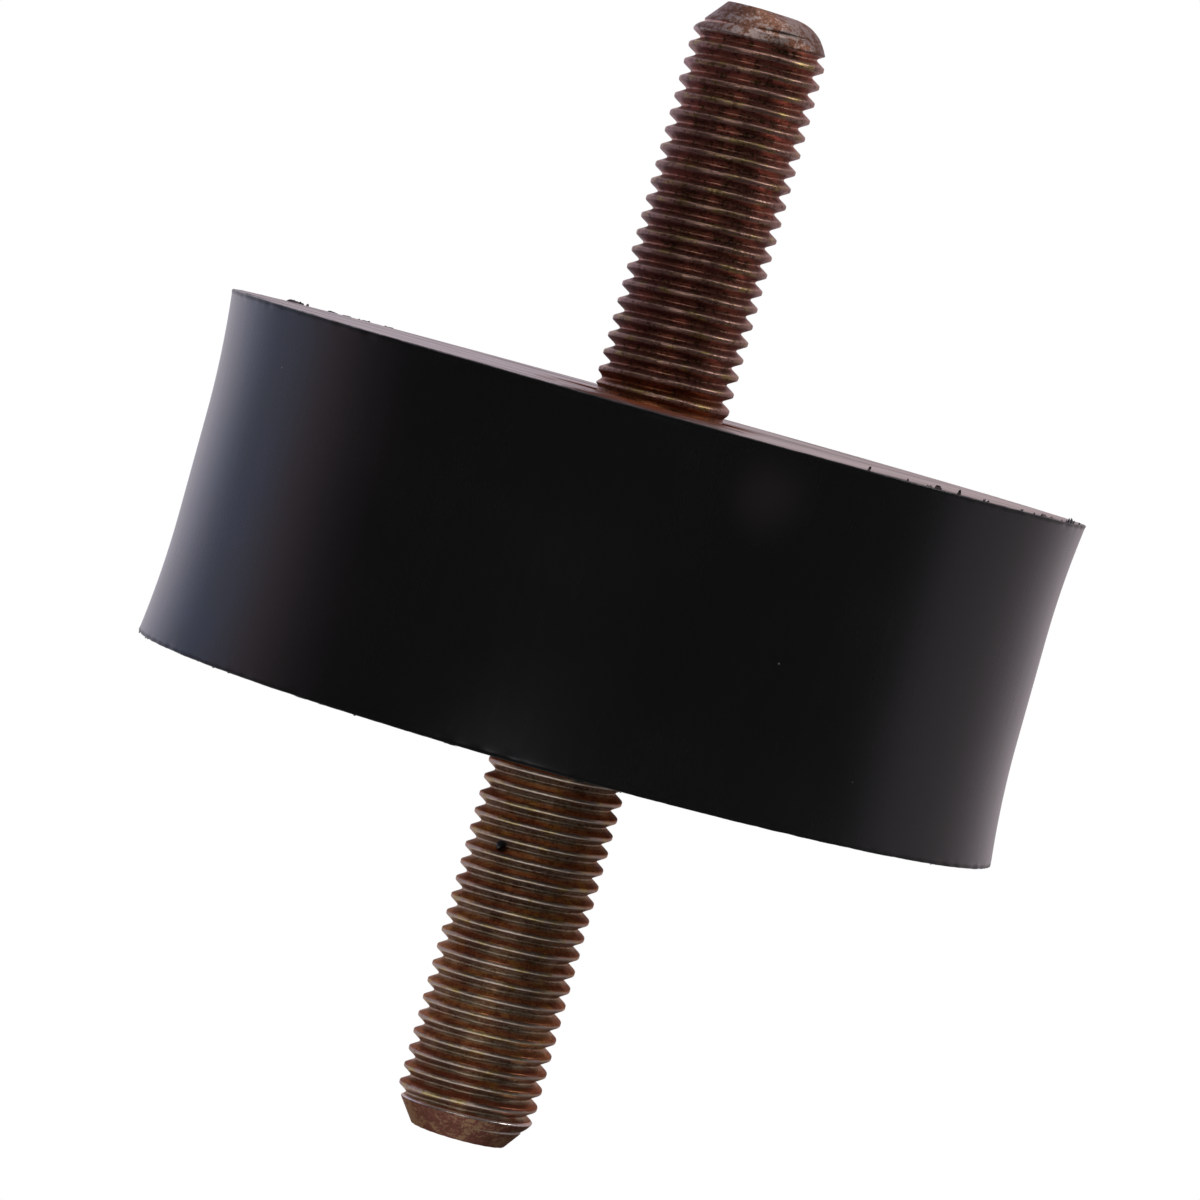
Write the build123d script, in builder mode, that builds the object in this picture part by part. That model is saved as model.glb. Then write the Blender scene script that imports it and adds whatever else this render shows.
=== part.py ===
"""Bobbin vibration mount with a threaded stud at each end.

A rubber body is bonded to two steel plates, and a headed stud is pressed into each plate before moulding.
Millimetres, +Z up along the studs, origin at the centre of the lower mounting face.
"""

import os

from build123d import *

# Rubber body, measured between its two mounting faces
body_height = 40.0
rim_diameter = 100.0
waist_diameter = 98.2
waist_straight_height = 12.0
rim_skin = 0.8  # rubber left around the edge of each plate where it is thinnest

# Steel plates, bonded in with their outer faces level with the rubber's rims
plate_thickness = 4.0
plate_edge_break = 0.5

# What both studs share: an M16 rolled thread, shown at its full outside diameter
thread_diameter = 16.0
shank_diameter = 14.7  # the bar before its thread was rolled
shank_length = 1.0  # plain shank above the plate
run_out_length = 2.5  # where the thread grows from the shank to its full diameter
tip_chamfer_length = 3.6
neck_diameter = 17.0  # press neck in the plate's hole
neck_recess = 0.4  # how far the neck ends below the plate's outer face
head_diameter = 28.0
head_thickness = 5.0
head_edge_break = 1.0

# What differs: the upper stud stands a little prouder, and the corner of its tip is more worn
upper_stud_length = 46.1
upper_tip_diameter = 9.7
upper_tip_wear = 1.2
lower_stud_length = 45.7
lower_tip_diameter = 10.9
lower_tip_wear = 0.3

# Sizes that follow from those above
rim_radius = rim_diameter / 2
waist_radius = waist_diameter / 2
thread_radius = thread_diameter / 2
shank_radius = shank_diameter / 2
neck_radius = neck_diameter / 2
head_radius = head_diameter / 2
waist_bottom = (body_height - waist_straight_height) / 2
waist_top = waist_bottom + waist_straight_height

# Side of the rubber in section, X the radius and Y the height: a straight waist and an arc to each rim
with BuildLine() as side:
    waist = Line((waist_radius, waist_bottom), (waist_radius, waist_top))
    upper_flare = TangentArc(waist @ 1, (rim_radius, body_height), tangent=(0, 1))
    lower_flare = TangentArc(waist @ 0, (rim_radius, 0), tangent=(0, -1))

# A plate keeps its skin of rubber at its outer face, by the rim, and at its inner face, by the flare
inner_face_line = Axis((0, body_height - plate_thickness, 0), (1, 0, 0))
flare_at_inner_face = upper_flare.find_intersection_points(inner_face_line)[0]
plate_radius = min(rim_radius, flare_at_inner_face.X) - rim_skin

# Each end has a section plane. Its X is the radius and its Y points out of the mounting face.
upper_section = Plane(origin=(0, 0, body_height), x_dir=(1, 0, 0), z_dir=(0, -1, 0))
lower_section = Plane(origin=(0, 0, 0), x_dir=(1, 0, 0), z_dir=(0, 1, 0))
ends = {
    "upper": (upper_section, upper_stud_length, upper_tip_diameter / 2, upper_tip_wear),
    "lower": (lower_section, lower_stud_length, lower_tip_diameter / 2, lower_tip_wear),
}

os.makedirs("parts", exist_ok=True)
steel_parts = []

for end, (section, stud_length, tip_radius, tip_wear) in ends.items():
    # Plate: a flat disc with a hole for the stud's press neck and its inner edge broken
    with BuildPart() as plate:
        with BuildSketch(section) as plate_section:
            with BuildLine():
                Polyline(
                    (neck_radius, 0),
                    (plate_radius, 0),
                    (plate_radius, -plate_thickness),
                    (neck_radius, -plate_thickness),
                    close=True,
                )
            make_face()
            inner_edge = plate_section.vertices().group_by(Axis.Y)[0].sort_by(Axis.X)[-1]
            chamfer(inner_edge, length=plate_edge_break)
        revolve(axis=Axis.Z)
    plate.part.label = f"{end}_plate"
    steel_parts.append(plate.part)

    # Stud: head behind the plate, press neck in it, plain shank, thread run-out, thread and chamfered tip
    head_face = -plate_thickness - head_thickness
    thread_start = shank_length + run_out_length
    thread_end = stud_length - tip_chamfer_length
    with BuildPart() as stud:
        with BuildSketch(section) as stud_section:
            with BuildLine():
                Polyline(
                    (0, head_face),
                    (head_radius, head_face),
                    (head_radius, -plate_thickness),
                    (neck_radius, -plate_thickness),
                    (neck_radius, -neck_recess),
                    (shank_radius, -neck_recess),
                    (shank_radius, shank_length),
                    (thread_radius, thread_start),
                    (thread_radius, thread_end),
                    (tip_radius, stud_length),
                    (0, stud_length),
                    close=True,
                )
            make_face()
            head_corner = stud_section.vertices().group_by(Axis.Y)[0].sort_by(Axis.X)[-1]
            chamfer(head_corner, length=head_edge_break)
            tip_corner = stud_section.vertices().group_by(Axis.Y)[-1].sort_by(Axis.X)[-1]
            chamfer(tip_corner, length=tip_wear)
        revolve(axis=Axis.Z)
    stud.part.label = f"{end}_stud"
    steel_parts.append(stud.part)

# Rubber body: a waisted moulding that fills all the room between the plates and around the heads
with BuildPart() as rubber_body:
    with BuildSketch(Plane.XZ):
        with BuildLine():
            add(side.line)
            Polyline(upper_flare @ 1, (0, body_height), (0, 0), lower_flare @ 1)
        make_face()
    revolve(axis=Axis.Z)
    for steel_part in steel_parts:
        add(steel_part, mode=Mode.SUBTRACT)
    # No rubber creeps into the plates' holes beside the necks
    for section, *_ in ends.values():
        with BuildSketch(section):
            Rectangle(neck_radius, plate_thickness, align=(Align.MIN, Align.MAX))
        revolve(axis=Axis.Z, mode=Mode.SUBTRACT)
rubber_body.part.label = "rubber_body"

for piece in (rubber_body.part, *steel_parts):
    export_step(piece, f"parts/{piece.label}.step")
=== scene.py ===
"""Looks for the bobbin vibration mount: a waisted rubber body between two plates, and a stud at each end.

Metres, in the CAD frame: origin at the centre of the lower mounting face, +Z along the studs.
"""

import logging
import math
from collections.abc import Callable
from dataclasses import dataclass
from enum import Enum

import bmesh
import bpy
from mathutils import Matrix, Vector, noise


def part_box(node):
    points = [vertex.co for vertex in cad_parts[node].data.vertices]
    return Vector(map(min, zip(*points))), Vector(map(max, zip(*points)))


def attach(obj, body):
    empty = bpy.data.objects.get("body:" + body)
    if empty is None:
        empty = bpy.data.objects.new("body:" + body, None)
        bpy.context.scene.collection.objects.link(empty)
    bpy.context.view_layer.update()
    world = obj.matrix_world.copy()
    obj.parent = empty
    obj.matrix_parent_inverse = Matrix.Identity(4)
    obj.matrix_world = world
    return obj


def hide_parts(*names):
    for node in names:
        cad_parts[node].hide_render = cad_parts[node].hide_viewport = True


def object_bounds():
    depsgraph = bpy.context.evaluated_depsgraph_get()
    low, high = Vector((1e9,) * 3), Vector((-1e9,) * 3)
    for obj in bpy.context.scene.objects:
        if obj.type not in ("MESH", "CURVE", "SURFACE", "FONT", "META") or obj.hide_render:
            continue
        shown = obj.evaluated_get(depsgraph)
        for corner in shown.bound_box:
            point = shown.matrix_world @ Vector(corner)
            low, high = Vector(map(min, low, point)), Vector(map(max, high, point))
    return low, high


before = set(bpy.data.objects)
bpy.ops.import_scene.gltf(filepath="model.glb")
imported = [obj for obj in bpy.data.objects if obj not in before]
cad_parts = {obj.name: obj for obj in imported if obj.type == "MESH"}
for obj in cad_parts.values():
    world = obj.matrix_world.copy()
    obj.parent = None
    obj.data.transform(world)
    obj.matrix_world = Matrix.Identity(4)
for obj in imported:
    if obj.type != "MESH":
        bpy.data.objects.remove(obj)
cad_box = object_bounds()

MM = 0.001
ROOT = "root"
log = logging.getLogger("bobbin_mount")

Colour = tuple[float, float, float]
Point = tuple[float, float, float]
Station = tuple[float, float]
Span = tuple[float, float]

# Roughness of a dull film over a surface
FILM_ROUGHNESS = 0.9
# Points of a mesh that are nearer than this are welded
WELD = 0.0008 * MM
# Heights and radii that are nearer than this count as level
HAIR = 0.01 * MM
# Whole turns that keep the fraction of a turn above 0
SPARE_TURNS = 8.0


def add_object(name: str, data: bpy.types.ID) -> bpy.types.Object:
    """Puts an object in the scene.

    Args:
        name: the object's name.
        data: its mesh, lamp or camera.

    Returns:
        The object.
    """
    made = bpy.data.objects.new(name, data)
    bpy.context.scene.collection.objects.link(made)
    return made


# ---------------------------------------------------------------- node trees written as expressions


class Value:
    """A socket's value in a node tree, so that sums on it read as Python expressions."""

    def __init__(self, tree: "Tree", socket: bpy.types.NodeSocket) -> None:
        """Keeps the tree and the socket that gives the value."""
        self.tree = tree
        self.socket = socket

    def __add__(self, other: "Term") -> "Value":
        """This plus other."""
        return self.tree.math("ADD", self, other)

    def __radd__(self, other: float) -> "Value":
        """Other plus this."""
        return self.tree.math("ADD", other, self)

    def __sub__(self, other: "Term") -> "Value":
        """This minus other."""
        return self.tree.math("SUBTRACT", self, other)

    def __rsub__(self, other: float) -> "Value":
        """Other minus this."""
        return self.tree.math("SUBTRACT", other, self)

    def __mul__(self, other: "Term") -> "Value":
        """This times other."""
        return self.tree.math("MULTIPLY", self, other)

    def __rmul__(self, other: float) -> "Value":
        """Other times this."""
        return self.tree.math("MULTIPLY", other, self)

    def __truediv__(self, other: "Term") -> "Value":
        """This divided by other."""
        return self.tree.math("DIVIDE", self, other)

    def __rtruediv__(self, other: float) -> "Value":
        """Other divided by this."""
        return self.tree.math("DIVIDE", other, self)

    def __pow__(self, other: "Term") -> "Value":
        """This to the power of other."""
        return self.tree.math("POWER", self, other)

    def __abs__(self) -> "Value":
        """This without its sign."""
        return self.tree.math("ABSOLUTE", self)


Term = Value | float


class Tree:
    """A node tree, and the calls that add nodes to it."""

    def __init__(self, nodes: bpy.types.NodeTree) -> None:
        """Wraps the tree and clears what it holds."""
        self.nodes = nodes
        nodes.nodes.clear()

    def node(self, kind: str, settings: dict | None = None, inputs: dict | None = None) -> bpy.types.Node:
        """Adds one node of any type.

        Args:
            kind: Blender's name for the node type.
            settings: properties of the node, set before its sockets.
            inputs: a number, colour or Value for each socket, by name or place.

        Returns:
            The new node.
        """
        made = self.nodes.nodes.new(kind)
        for name, setting in (settings or {}).items():
            setattr(made, name, setting)
        for place, given in (inputs or {}).items():
            socket = made.inputs[place]
            if isinstance(given, Value):
                self.nodes.links.new(given.socket, socket)
            elif isinstance(given, bpy.types.NodeSocket):
                self.nodes.links.new(given, socket)
            else:
                socket.default_value = given
        return made

    def value(
        self, kind: str, output: str | int, settings: dict | None = None, inputs: dict | None = None
    ) -> Value:
        """Adds a node and gives one of its outputs.

        Args:
            kind: Blender's name for the node type.
            output: the wanted output, by name or place.
            settings: properties of the node.
            inputs: what its sockets get.

        Returns:
            The output as a Value.
        """
        return Value(self, self.node(kind, settings, inputs).outputs[output])

    def math(self, operation: str, *terms: Term) -> Value:
        """A Math node.

        Args:
            operation: Blender's name for the operation.
            terms: its one to three values.

        Returns:
            The result.
        """
        return self.value("ShaderNodeMath", 0, {"operation": operation}, dict(enumerate(terms)))

    def step(self, value: Value, low: Term, high: Term) -> Value:
        """A soft step.

        Args:
            value: what is measured.
            low: where the step is 0.
            high: where the step is 1. It may be under low.

        Returns:
            The step, from 0 to 1.
        """
        inputs = {0: value, 1: low, 2: high}
        return self.value("ShaderNodeMapRange", 0, {"interpolation_type": "SMOOTHSTEP"}, inputs)

    def blend(self, share: Term, first: Term, second: Term) -> Value:
        """A number between two others.

        Args:
            share: 0 gives first and 1 gives second.
            first: one end.
            second: the other end.

        Returns:
            The number in between.
        """
        return self.value("ShaderNodeMix", 0, {"data_type": "FLOAT"}, {0: share, 2: first, 3: second})

    def mix(self, share: Term, first: "Colour | Value", second: "Colour | Value") -> Value:
        """A colour between two others.

        Args:
            share: 0 gives first and 1 gives second.
            first: a colour.
            second: a colour.

        Returns:
            The mixed colour.
        """
        ends = [given if isinstance(given, Value) else (*given, 1.0) for given in (first, second)]
        return self.value("ShaderNodeMix", 2, {"data_type": "RGBA"}, {0: share, 6: ends[0], 7: ends[1]})

    def stretch(self, vector: Value, by: Point) -> Value:
        """A vector times a number for each axis.

        Args:
            vector: the vector.
            by: the three numbers.

        Returns:
            The stretched vector.
        """
        return self.value("ShaderNodeVectorMath", 0, {"operation": "MULTIPLY"}, {0: vector, 1: by})

    def grain(
        self, vector: Value, size: float, detail: float = 2.0, rough: float = 0.5, seed: float = 0.0
    ) -> Value:
        """Noise from 0 to 1.

        Args:
            vector: where it is read, in metres.
            size: about how large its patches are, in metres.
            detail: how many finer layers it has.
            rough: how strong the finer layers are.
            seed: another number gives other patches.

        Returns:
            The noise.
        """
        inputs = {"Vector": vector, "W": seed, "Scale": 1.0 / size, "Detail": detail, "Roughness": rough}
        return self.value("ShaderNodeTexNoise", 0, {"noise_dimensions": "4D"}, inputs)

    def parts(self, vector: Value) -> tuple[Value, Value, Value]:
        """The X, Y and Z of a vector."""
        split = self.node("ShaderNodeSeparateXYZ", inputs={0: vector})
        return Value(self, split.outputs[0]), Value(self, split.outputs[1]), Value(self, split.outputs[2])

    def vector(self, x: Term, y: Term, z: Term) -> Value:
        """A vector from its X, Y and Z."""
        return self.value("ShaderNodeCombineXYZ", 0, inputs={0: x, 1: y, 2: z})

    def ray(self, kind: str) -> Value:
        """1 on light paths of that kind, such as Glossy, and 0 on the others."""
        return self.value("ShaderNodeLightPath", f"Is {kind} Ray")


class Surface(Tree):
    """A material's tree: object coordinates in, one Principled shader out."""

    def __init__(self, name: str) -> None:
        """Starts a material of that name.

        Args:
            name: the material's name.
        """
        self.material = bpy.data.materials.new(name)
        self.material.use_nodes = True
        super().__init__(self.material.node_tree)
        self.place = self.value("ShaderNodeTexCoord", "Object")
        self.x, self.y, self.z = self.parts(self.place)
        self.radius = self.math("SQRT", self.x * self.x + self.y * self.y)
        self.turn = self.math("ARCTAN2", self.y, self.x) / math.tau

    def bump(self, height: Value, depth: float, strength: float = 1.0) -> Value:
        """A Bump node.

        Args:
            height: the relief, from 0 to 1.
            depth: how deep 1 is, in metres.
            strength: its share.

        Returns:
            The normal.
        """
        inputs = {"Height": height, "Distance": depth, "Strength": strength}
        return self.value("ShaderNodeBump", 0, inputs=inputs)

    def finish(self, inputs: dict, film: dict | None = None, share: Term = 0.0) -> bpy.types.Material:
        """Ends the tree in a Principled shader, with a second one over it where there is a film.

        Args:
            inputs: what the shader's sockets get, by name.
            film: what the film's shader gets.
            share: where the film lies, from 0 to 1.

        Returns:
            The material.
        """
        shader = self.node("ShaderNodeBsdfPrincipled", inputs=inputs)
        if film:
            over = self.node("ShaderNodeBsdfPrincipled", inputs=film)
            layers = {0: share, 1: shader.outputs[0], 2: over.outputs[0]}
            shader = self.node("ShaderNodeMixShader", inputs=layers)
        self.node("ShaderNodeOutputMaterial", inputs={"Surface": shader.outputs[0]})
        return self.material


class Shape(Tree):
    """A Geometry Nodes tree with named inputs, which is run once and leaves a plain mesh."""

    KINDS = {float: "NodeSocketFloat", int: "NodeSocketInt", bpy.types.Material: "NodeSocketMaterial"}

    def __init__(self, name: str, sizes: dict[str, float | int | bpy.types.Material]) -> None:
        """Starts a tree.

        Args:
            name: the tree's name.
            sizes: its inputs by name, with the values that the modifier gets.
        """
        super().__init__(bpy.data.node_groups.new(name, "GeometryNodeTree"))
        self.name = name
        self.given = {}
        for label, size in sizes.items():
            kind = next(socket for held, socket in self.KINDS.items() if isinstance(size, held))
            made = self.nodes.interface.new_socket(label, in_out="INPUT", socket_type=kind)
            self.given[made.identifier] = size
        self.nodes.interface.new_socket("Geometry", in_out="OUTPUT", socket_type="NodeSocketGeometry")
        inlet = self.node("NodeGroupInput")
        self.size = {label: Value(self, inlet.outputs[label]) for label in sizes}

    def run(self, geometry: Value) -> bpy.types.Mesh:
        """Realizes the geometry, gives it the material and runs the tree.

        Args:
            geometry: the finished geometry.

        Returns:
            The resulting mesh, with no modifier and no instances.
        """
        real = self.value("GeometryNodeRealizeInstances", 0, inputs={0: geometry})
        smooth = self.value("GeometryNodeSetShadeSmooth", 0, inputs={0: real})
        finish = {0: smooth, "Material": self.size["Material"]}
        dressed = self.value("GeometryNodeSetMaterial", 0, inputs=finish)
        self.node("NodeGroupOutput", inputs={0: dressed})
        host = add_object(self.name, bpy.data.meshes.new(self.name))
        modifier = host.modifiers.new(self.name, "NODES")
        modifier.node_group = self.nodes
        for identifier, size in self.given.items():
            modifier[identifier] = size
        evaluated = host.evaluated_get(bpy.context.evaluated_depsgraph_get())
        mesh = bpy.data.meshes.new_from_object(evaluated)
        host.modifiers.clear()
        bpy.data.objects.remove(host)
        return mesh


# ---------------------------------------------------------------- finishes


class Pointing(Enum):
    """Which way a stud or a plate's bare face points: +1 up from the mount, -1 down from it."""

    UP = 1
    DOWN = -1


@dataclass(frozen=True)
class RubberFinish:
    """Black moulded rubber: faintly streaked round its side, with dust, specks and a matt lip; blue bloom in
    patches at its left edge only, which is partly bloom and partly a painted cool reflection there; and a
    painted warm reflection near the upper rim on the front.
    """

    black: Colour = (0.0066, 0.0078, 0.0076)
    bloom_and_cool_reflection: Colour = (0.0060, 0.0090, 0.0210)
    dust_and_glow: Colour = (0.058, 0.047, 0.038)
    speck: Colour = (0.26, 0.25, 0.24)
    spray: Colour = (0.24, 0.19, 0.19)
    sheen: Colour = (0.92, 0.93, 1.0)
    roughness: float = 0.21
    ior: float = 1.5
    streak_size: float = 1.1 * MM
    cloud_size: float = 16.0 * MM
    patch_size: float = 7.0 * MM
    peel_size: float = 0.5 * MM
    relief_depth: float = 0.006 * MM
    speck_gap: float = 3.2 * MM
    speck_group: float = 2.6 * MM
    speck_edge: Span = (0.055, 0.030)
    speck_chance: Span = (0.66, 0.70)
    painted_glow_at: Point = (13.6 * MM, -47.2 * MM, 35.0 * MM)
    painted_glow_size: float = 7.0 * MM
    painted_glow_core: float = 1.0 * MM
    cool_reflection_side: Span = (-36.0 * MM, -42.0 * MM)
    lip_height: Span = (0.60 * MM, 0.30 * MM)
    lip_ragged: float = 0.5 * MM
    sprayed_height: Span = (0.30 * MM, 0.10 * MM)
    sprayed_reach: Span = (0.30 * MM, 0.55 * MM)
    lip_film: float = 0.8
    lip_thinning: float = 0.42
    thin_side: Span = (8.0 * MM, 38.0 * MM)
    film_shine: float = 0.06
    bottom: float = 0.0
    top: float = 40.0 * MM
    side_radius: float = 50.0 * MM

    def material(self) -> bpy.types.Material:
        """Builds the rubber's material, with a matt film over its lips.

        Returns:
            The material.
        """
        s = Surface("moulded_rubber")
        streaks = s.grain(s.stretch(s.place, (1.0, 1.0, 0.06)), self.streak_size, detail=3.0, rough=0.6)
        clouds = s.grain(s.place, self.cloud_size, detail=3.0, seed=2.0)
        peel = s.grain(s.place, self.peel_size, detail=2.0, seed=5.0)
        patches = s.grain(s.place, self.patch_size, detail=3.0, seed=12.0)

        # Pale specks, sparse because only some groups of them show
        cells = {"Vector": s.place, "Scale": 1.0 / self.speck_gap}
        dots = s.value("ShaderNodeTexVoronoi", "Distance", inputs=cells)
        group = s.grain(s.place, self.speck_group, detail=0.0, seed=9.0)
        speck = s.step(dots, *self.speck_edge) * s.step(group, *self.speck_chance)

        # A painted warm reflection near the upper rim on the front, in the dust's colour, and a little
        # rougher there
        ends = {0: s.place, 1: self.painted_glow_at}
        offset = s.value("ShaderNodeVectorMath", "Value", {"operation": "DISTANCE"}, ends)
        painted_glow = s.step(offset + (clouds - 0.5) * (9.0 * MM), self.painted_glow_size, self.painted_glow_core)

        # A matt film on the lips, grey with spray where they meet the plates
        to_face = s.math("MINIMUM", abs(s.z - self.bottom), abs(s.z - self.top))
        lip = s.step(to_face + (streaks - 0.5) * self.lip_ragged, *self.lip_height)
        near, far = self.sprayed_reach
        inner = s.step(
            s.radius + (patches - 0.5) * self.lip_ragged, self.side_radius - near, self.side_radius - far
        )
        over = s.mix(inner * s.step(to_face, *self.sprayed_height), self.black, self.spray)
        share = lip * (self.lip_film - s.step(abs(s.x), *self.thin_side) * self.lip_thinning)

        # Blue bloom in patches, kept to the left edge of the side: partly bloom, partly a painted cool
        # reflection
        bloom_and_reflection_share = s.step(patches, 0.40, 0.62) * s.step(s.x, *self.cool_reflection_side)
        black = s.mix(bloom_and_reflection_share, self.black, self.bloom_and_cool_reflection)
        # Dust in clouds, plus the painted warm reflection
        dust_and_glow_share = s.step(clouds, 0.35, 0.80) * 0.04 + painted_glow * 0.13
        colour = s.mix(speck, s.mix(dust_and_glow_share, black, self.dust_and_glow), self.speck)
        rough = self.roughness + streaks * 0.06 + clouds * 0.05 + painted_glow * 0.10 + speck * 0.3
        relief = streaks * 0.35 + peel * 0.5 + speck * 2.0
        return s.finish(
            {
                "Base Color": colour,
                "Roughness": rough,
                "IOR": self.ior,
                "Specular Tint": (*self.sheen, 1.0),
                "Normal": s.bump(relief, self.relief_depth, 0.6),
            },
            {"Base Color": over, "Roughness": FILM_ROUGHNESS, "Specular IOR Level": self.film_shine},
            share,
        )


@dataclass(frozen=True)
class PlateFinish:
    """Plate face: dark steel that shines at a low angle, under a matt grey film in bands.

    Rust surrounds the stud, and on the upper plate a rust-brown band towards -Y is a painted reflection of
    the stud.
    """

    coat: Colour = (0.20, 0.175, 0.190)
    warm_coat: Colour = (0.24, 0.205, 0.190)
    streak: Colour = (0.10, 0.078, 0.080)
    rust: Colour = (0.15, 0.052, 0.028)
    rim_stain: Colour = (0.045, 0.038, 0.042)
    edge_tint: Colour = (1.0, 0.90, 0.87)
    dirt: Colour = (0.33, 0.285, 0.290)
    rust_and_stud_reflection: Colour = (0.110, 0.026, 0.007)
    roughness: float = 0.26
    metallic: float = 0.95
    film_shine: float = 0.02
    plate_radius: float = 48.76 * MM
    streak_size: float = 2.2 * MM
    band_size: float = 8.0 * MM
    cloud_size: float = 7.0 * MM
    fine_size: float = 0.45 * MM
    stud_reflection_size: float = 5.0 * MM
    relief_depth: float = 0.010 * MM
    edge_width: float = 0.4 * MM
    rusty_radius: Span = (16.0 * MM, 9.0 * MM)
    grimy_radius: Span = (24.0 * MM, 46.0 * MM)
    warm_side: Span = (-10.0 * MM, 14.0 * MM)
    clean_side: Span = (16.0 * MM, 34.0 * MM)
    stud_reflection_width: Span = (15.0 * MM, 3.0 * MM)
    stud_reflection_start: Span = (0.0, -10.0 * MM)
    upper_only: Span = (0.0, 1.0 * MM)

    def material(self) -> bpy.types.Material:
        """Builds the plates' material, a metal with a matt film over part of it.

        Returns:
            The material.
        """
        s = Surface("bonded_plate")
        ring = s.vector(s.turn * 40.0 * MM, s.radius * 9.0, 0.0)
        streaks = s.grain(ring, self.streak_size, detail=4.0, rough=0.6)
        bands = s.grain(
            s.stretch(s.place, (0.22, 1.0, 1.0)), self.band_size, detail=4.0, rough=0.7, seed=6.0
        )
        clouds = s.grain(s.place, self.cloud_size, detail=4.0, rough=0.6, seed=3.0)
        fine = s.grain(s.place, self.fine_size, detail=3.0, seed=4.0)

        # Steel: a streaked coat, rusty by the stud and in spots, and stained at the rim
        near_stud = s.step(s.radius + (clouds - 0.5) * (9.0 * MM), *self.rusty_radius)
        spots = s.step(fine * 0.5 + clouds * 0.5, 0.56, 0.66) * 0.6
        ragged = s.radius + (streaks - 0.5) * (1.2 * MM)
        edge = s.step(ragged, self.plate_radius - self.edge_width, self.plate_radius)
        coat = s.mix(s.step(s.x, *self.warm_side), self.coat, self.warm_coat)
        colour = s.mix(s.step(streaks, 0.40, 0.80), coat, self.streak)
        colour = s.mix(s.math("MAXIMUM", near_stud, spots), colour, self.rust)
        colour = s.mix(edge, colour, self.rim_stain)
        relief = fine * 0.6 + streaks * 0.4

        # Film: thicker in bands and at the edge, thinner on one side, and solid over the rust round the stud
        # and over the painted reflection of the stud towards -Y on the upper plate
        one_side = s.step(s.x - s.y * 0.25 + (clouds - 0.5) * (14.0 * MM), *self.clean_side)
        ringed = s.step(bands * 0.80 + clouds * 0.20, 0.46, 0.56)
        dull = 0.24 + ringed * 0.26 - one_side * 0.08 + edge * 0.20
        stud_reflection_grain = s.grain(s.stretch(s.place, (1.0, 0.2, 1.0)), self.stud_reflection_size, detail=4.0, rough=0.6, seed=14.0)
        spread = abs(s.x) + (stud_reflection_grain - 0.5) * (30.0 * MM) + (clouds - 0.5) * (26.0 * MM)
        rust_and_reflection = s.step(spread, *self.stud_reflection_width) * s.step(s.y, *self.stud_reflection_start) * s.step(s.z, *self.upper_only)
        rust_and_reflection = s.math("MAXIMUM", rust_and_reflection, near_stud)
        grimy = s.step(clouds * 0.5 + fine * 0.5, 0.50, 0.64)
        grimy = s.math("MAXIMUM", grimy, s.step(s.radius, *self.grimy_radius) * 0.7)
        rust_and_reflection_tone = s.mix(grimy, self.rust_and_stud_reflection, self.rim_stain)
        soiled = s.mix(rust_and_reflection, s.mix(ringed, self.dirt, self.rim_stain), rust_and_reflection_tone)
        dull = s.math("MAXIMUM", dull, rust_and_reflection)
        return s.finish(
            {
                "Base Color": colour,
                "Metallic": self.metallic - edge * self.metallic,
                "Specular Tint": (*self.edge_tint, 1.0),
                "Roughness": self.roughness + clouds * 0.06,
                "Normal": s.bump(relief, self.relief_depth, 0.6),
            },
            {"Base Color": soiled, "Roughness": FILM_ROUGHNESS, "Specular IOR Level": self.film_shine},
            s.math("MINIMUM", dull, 1.0),
        )


@dataclass(frozen=True)
class Thread:
    """What a stud's mesh and its finish share: where its turns lie, their radii and the cut of its tip."""

    start_turn: float
    crest_radius: float
    root_radius: float
    tip_radius: float
    tip_slope: float
    pitch: float = 2.0 * MM


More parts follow.
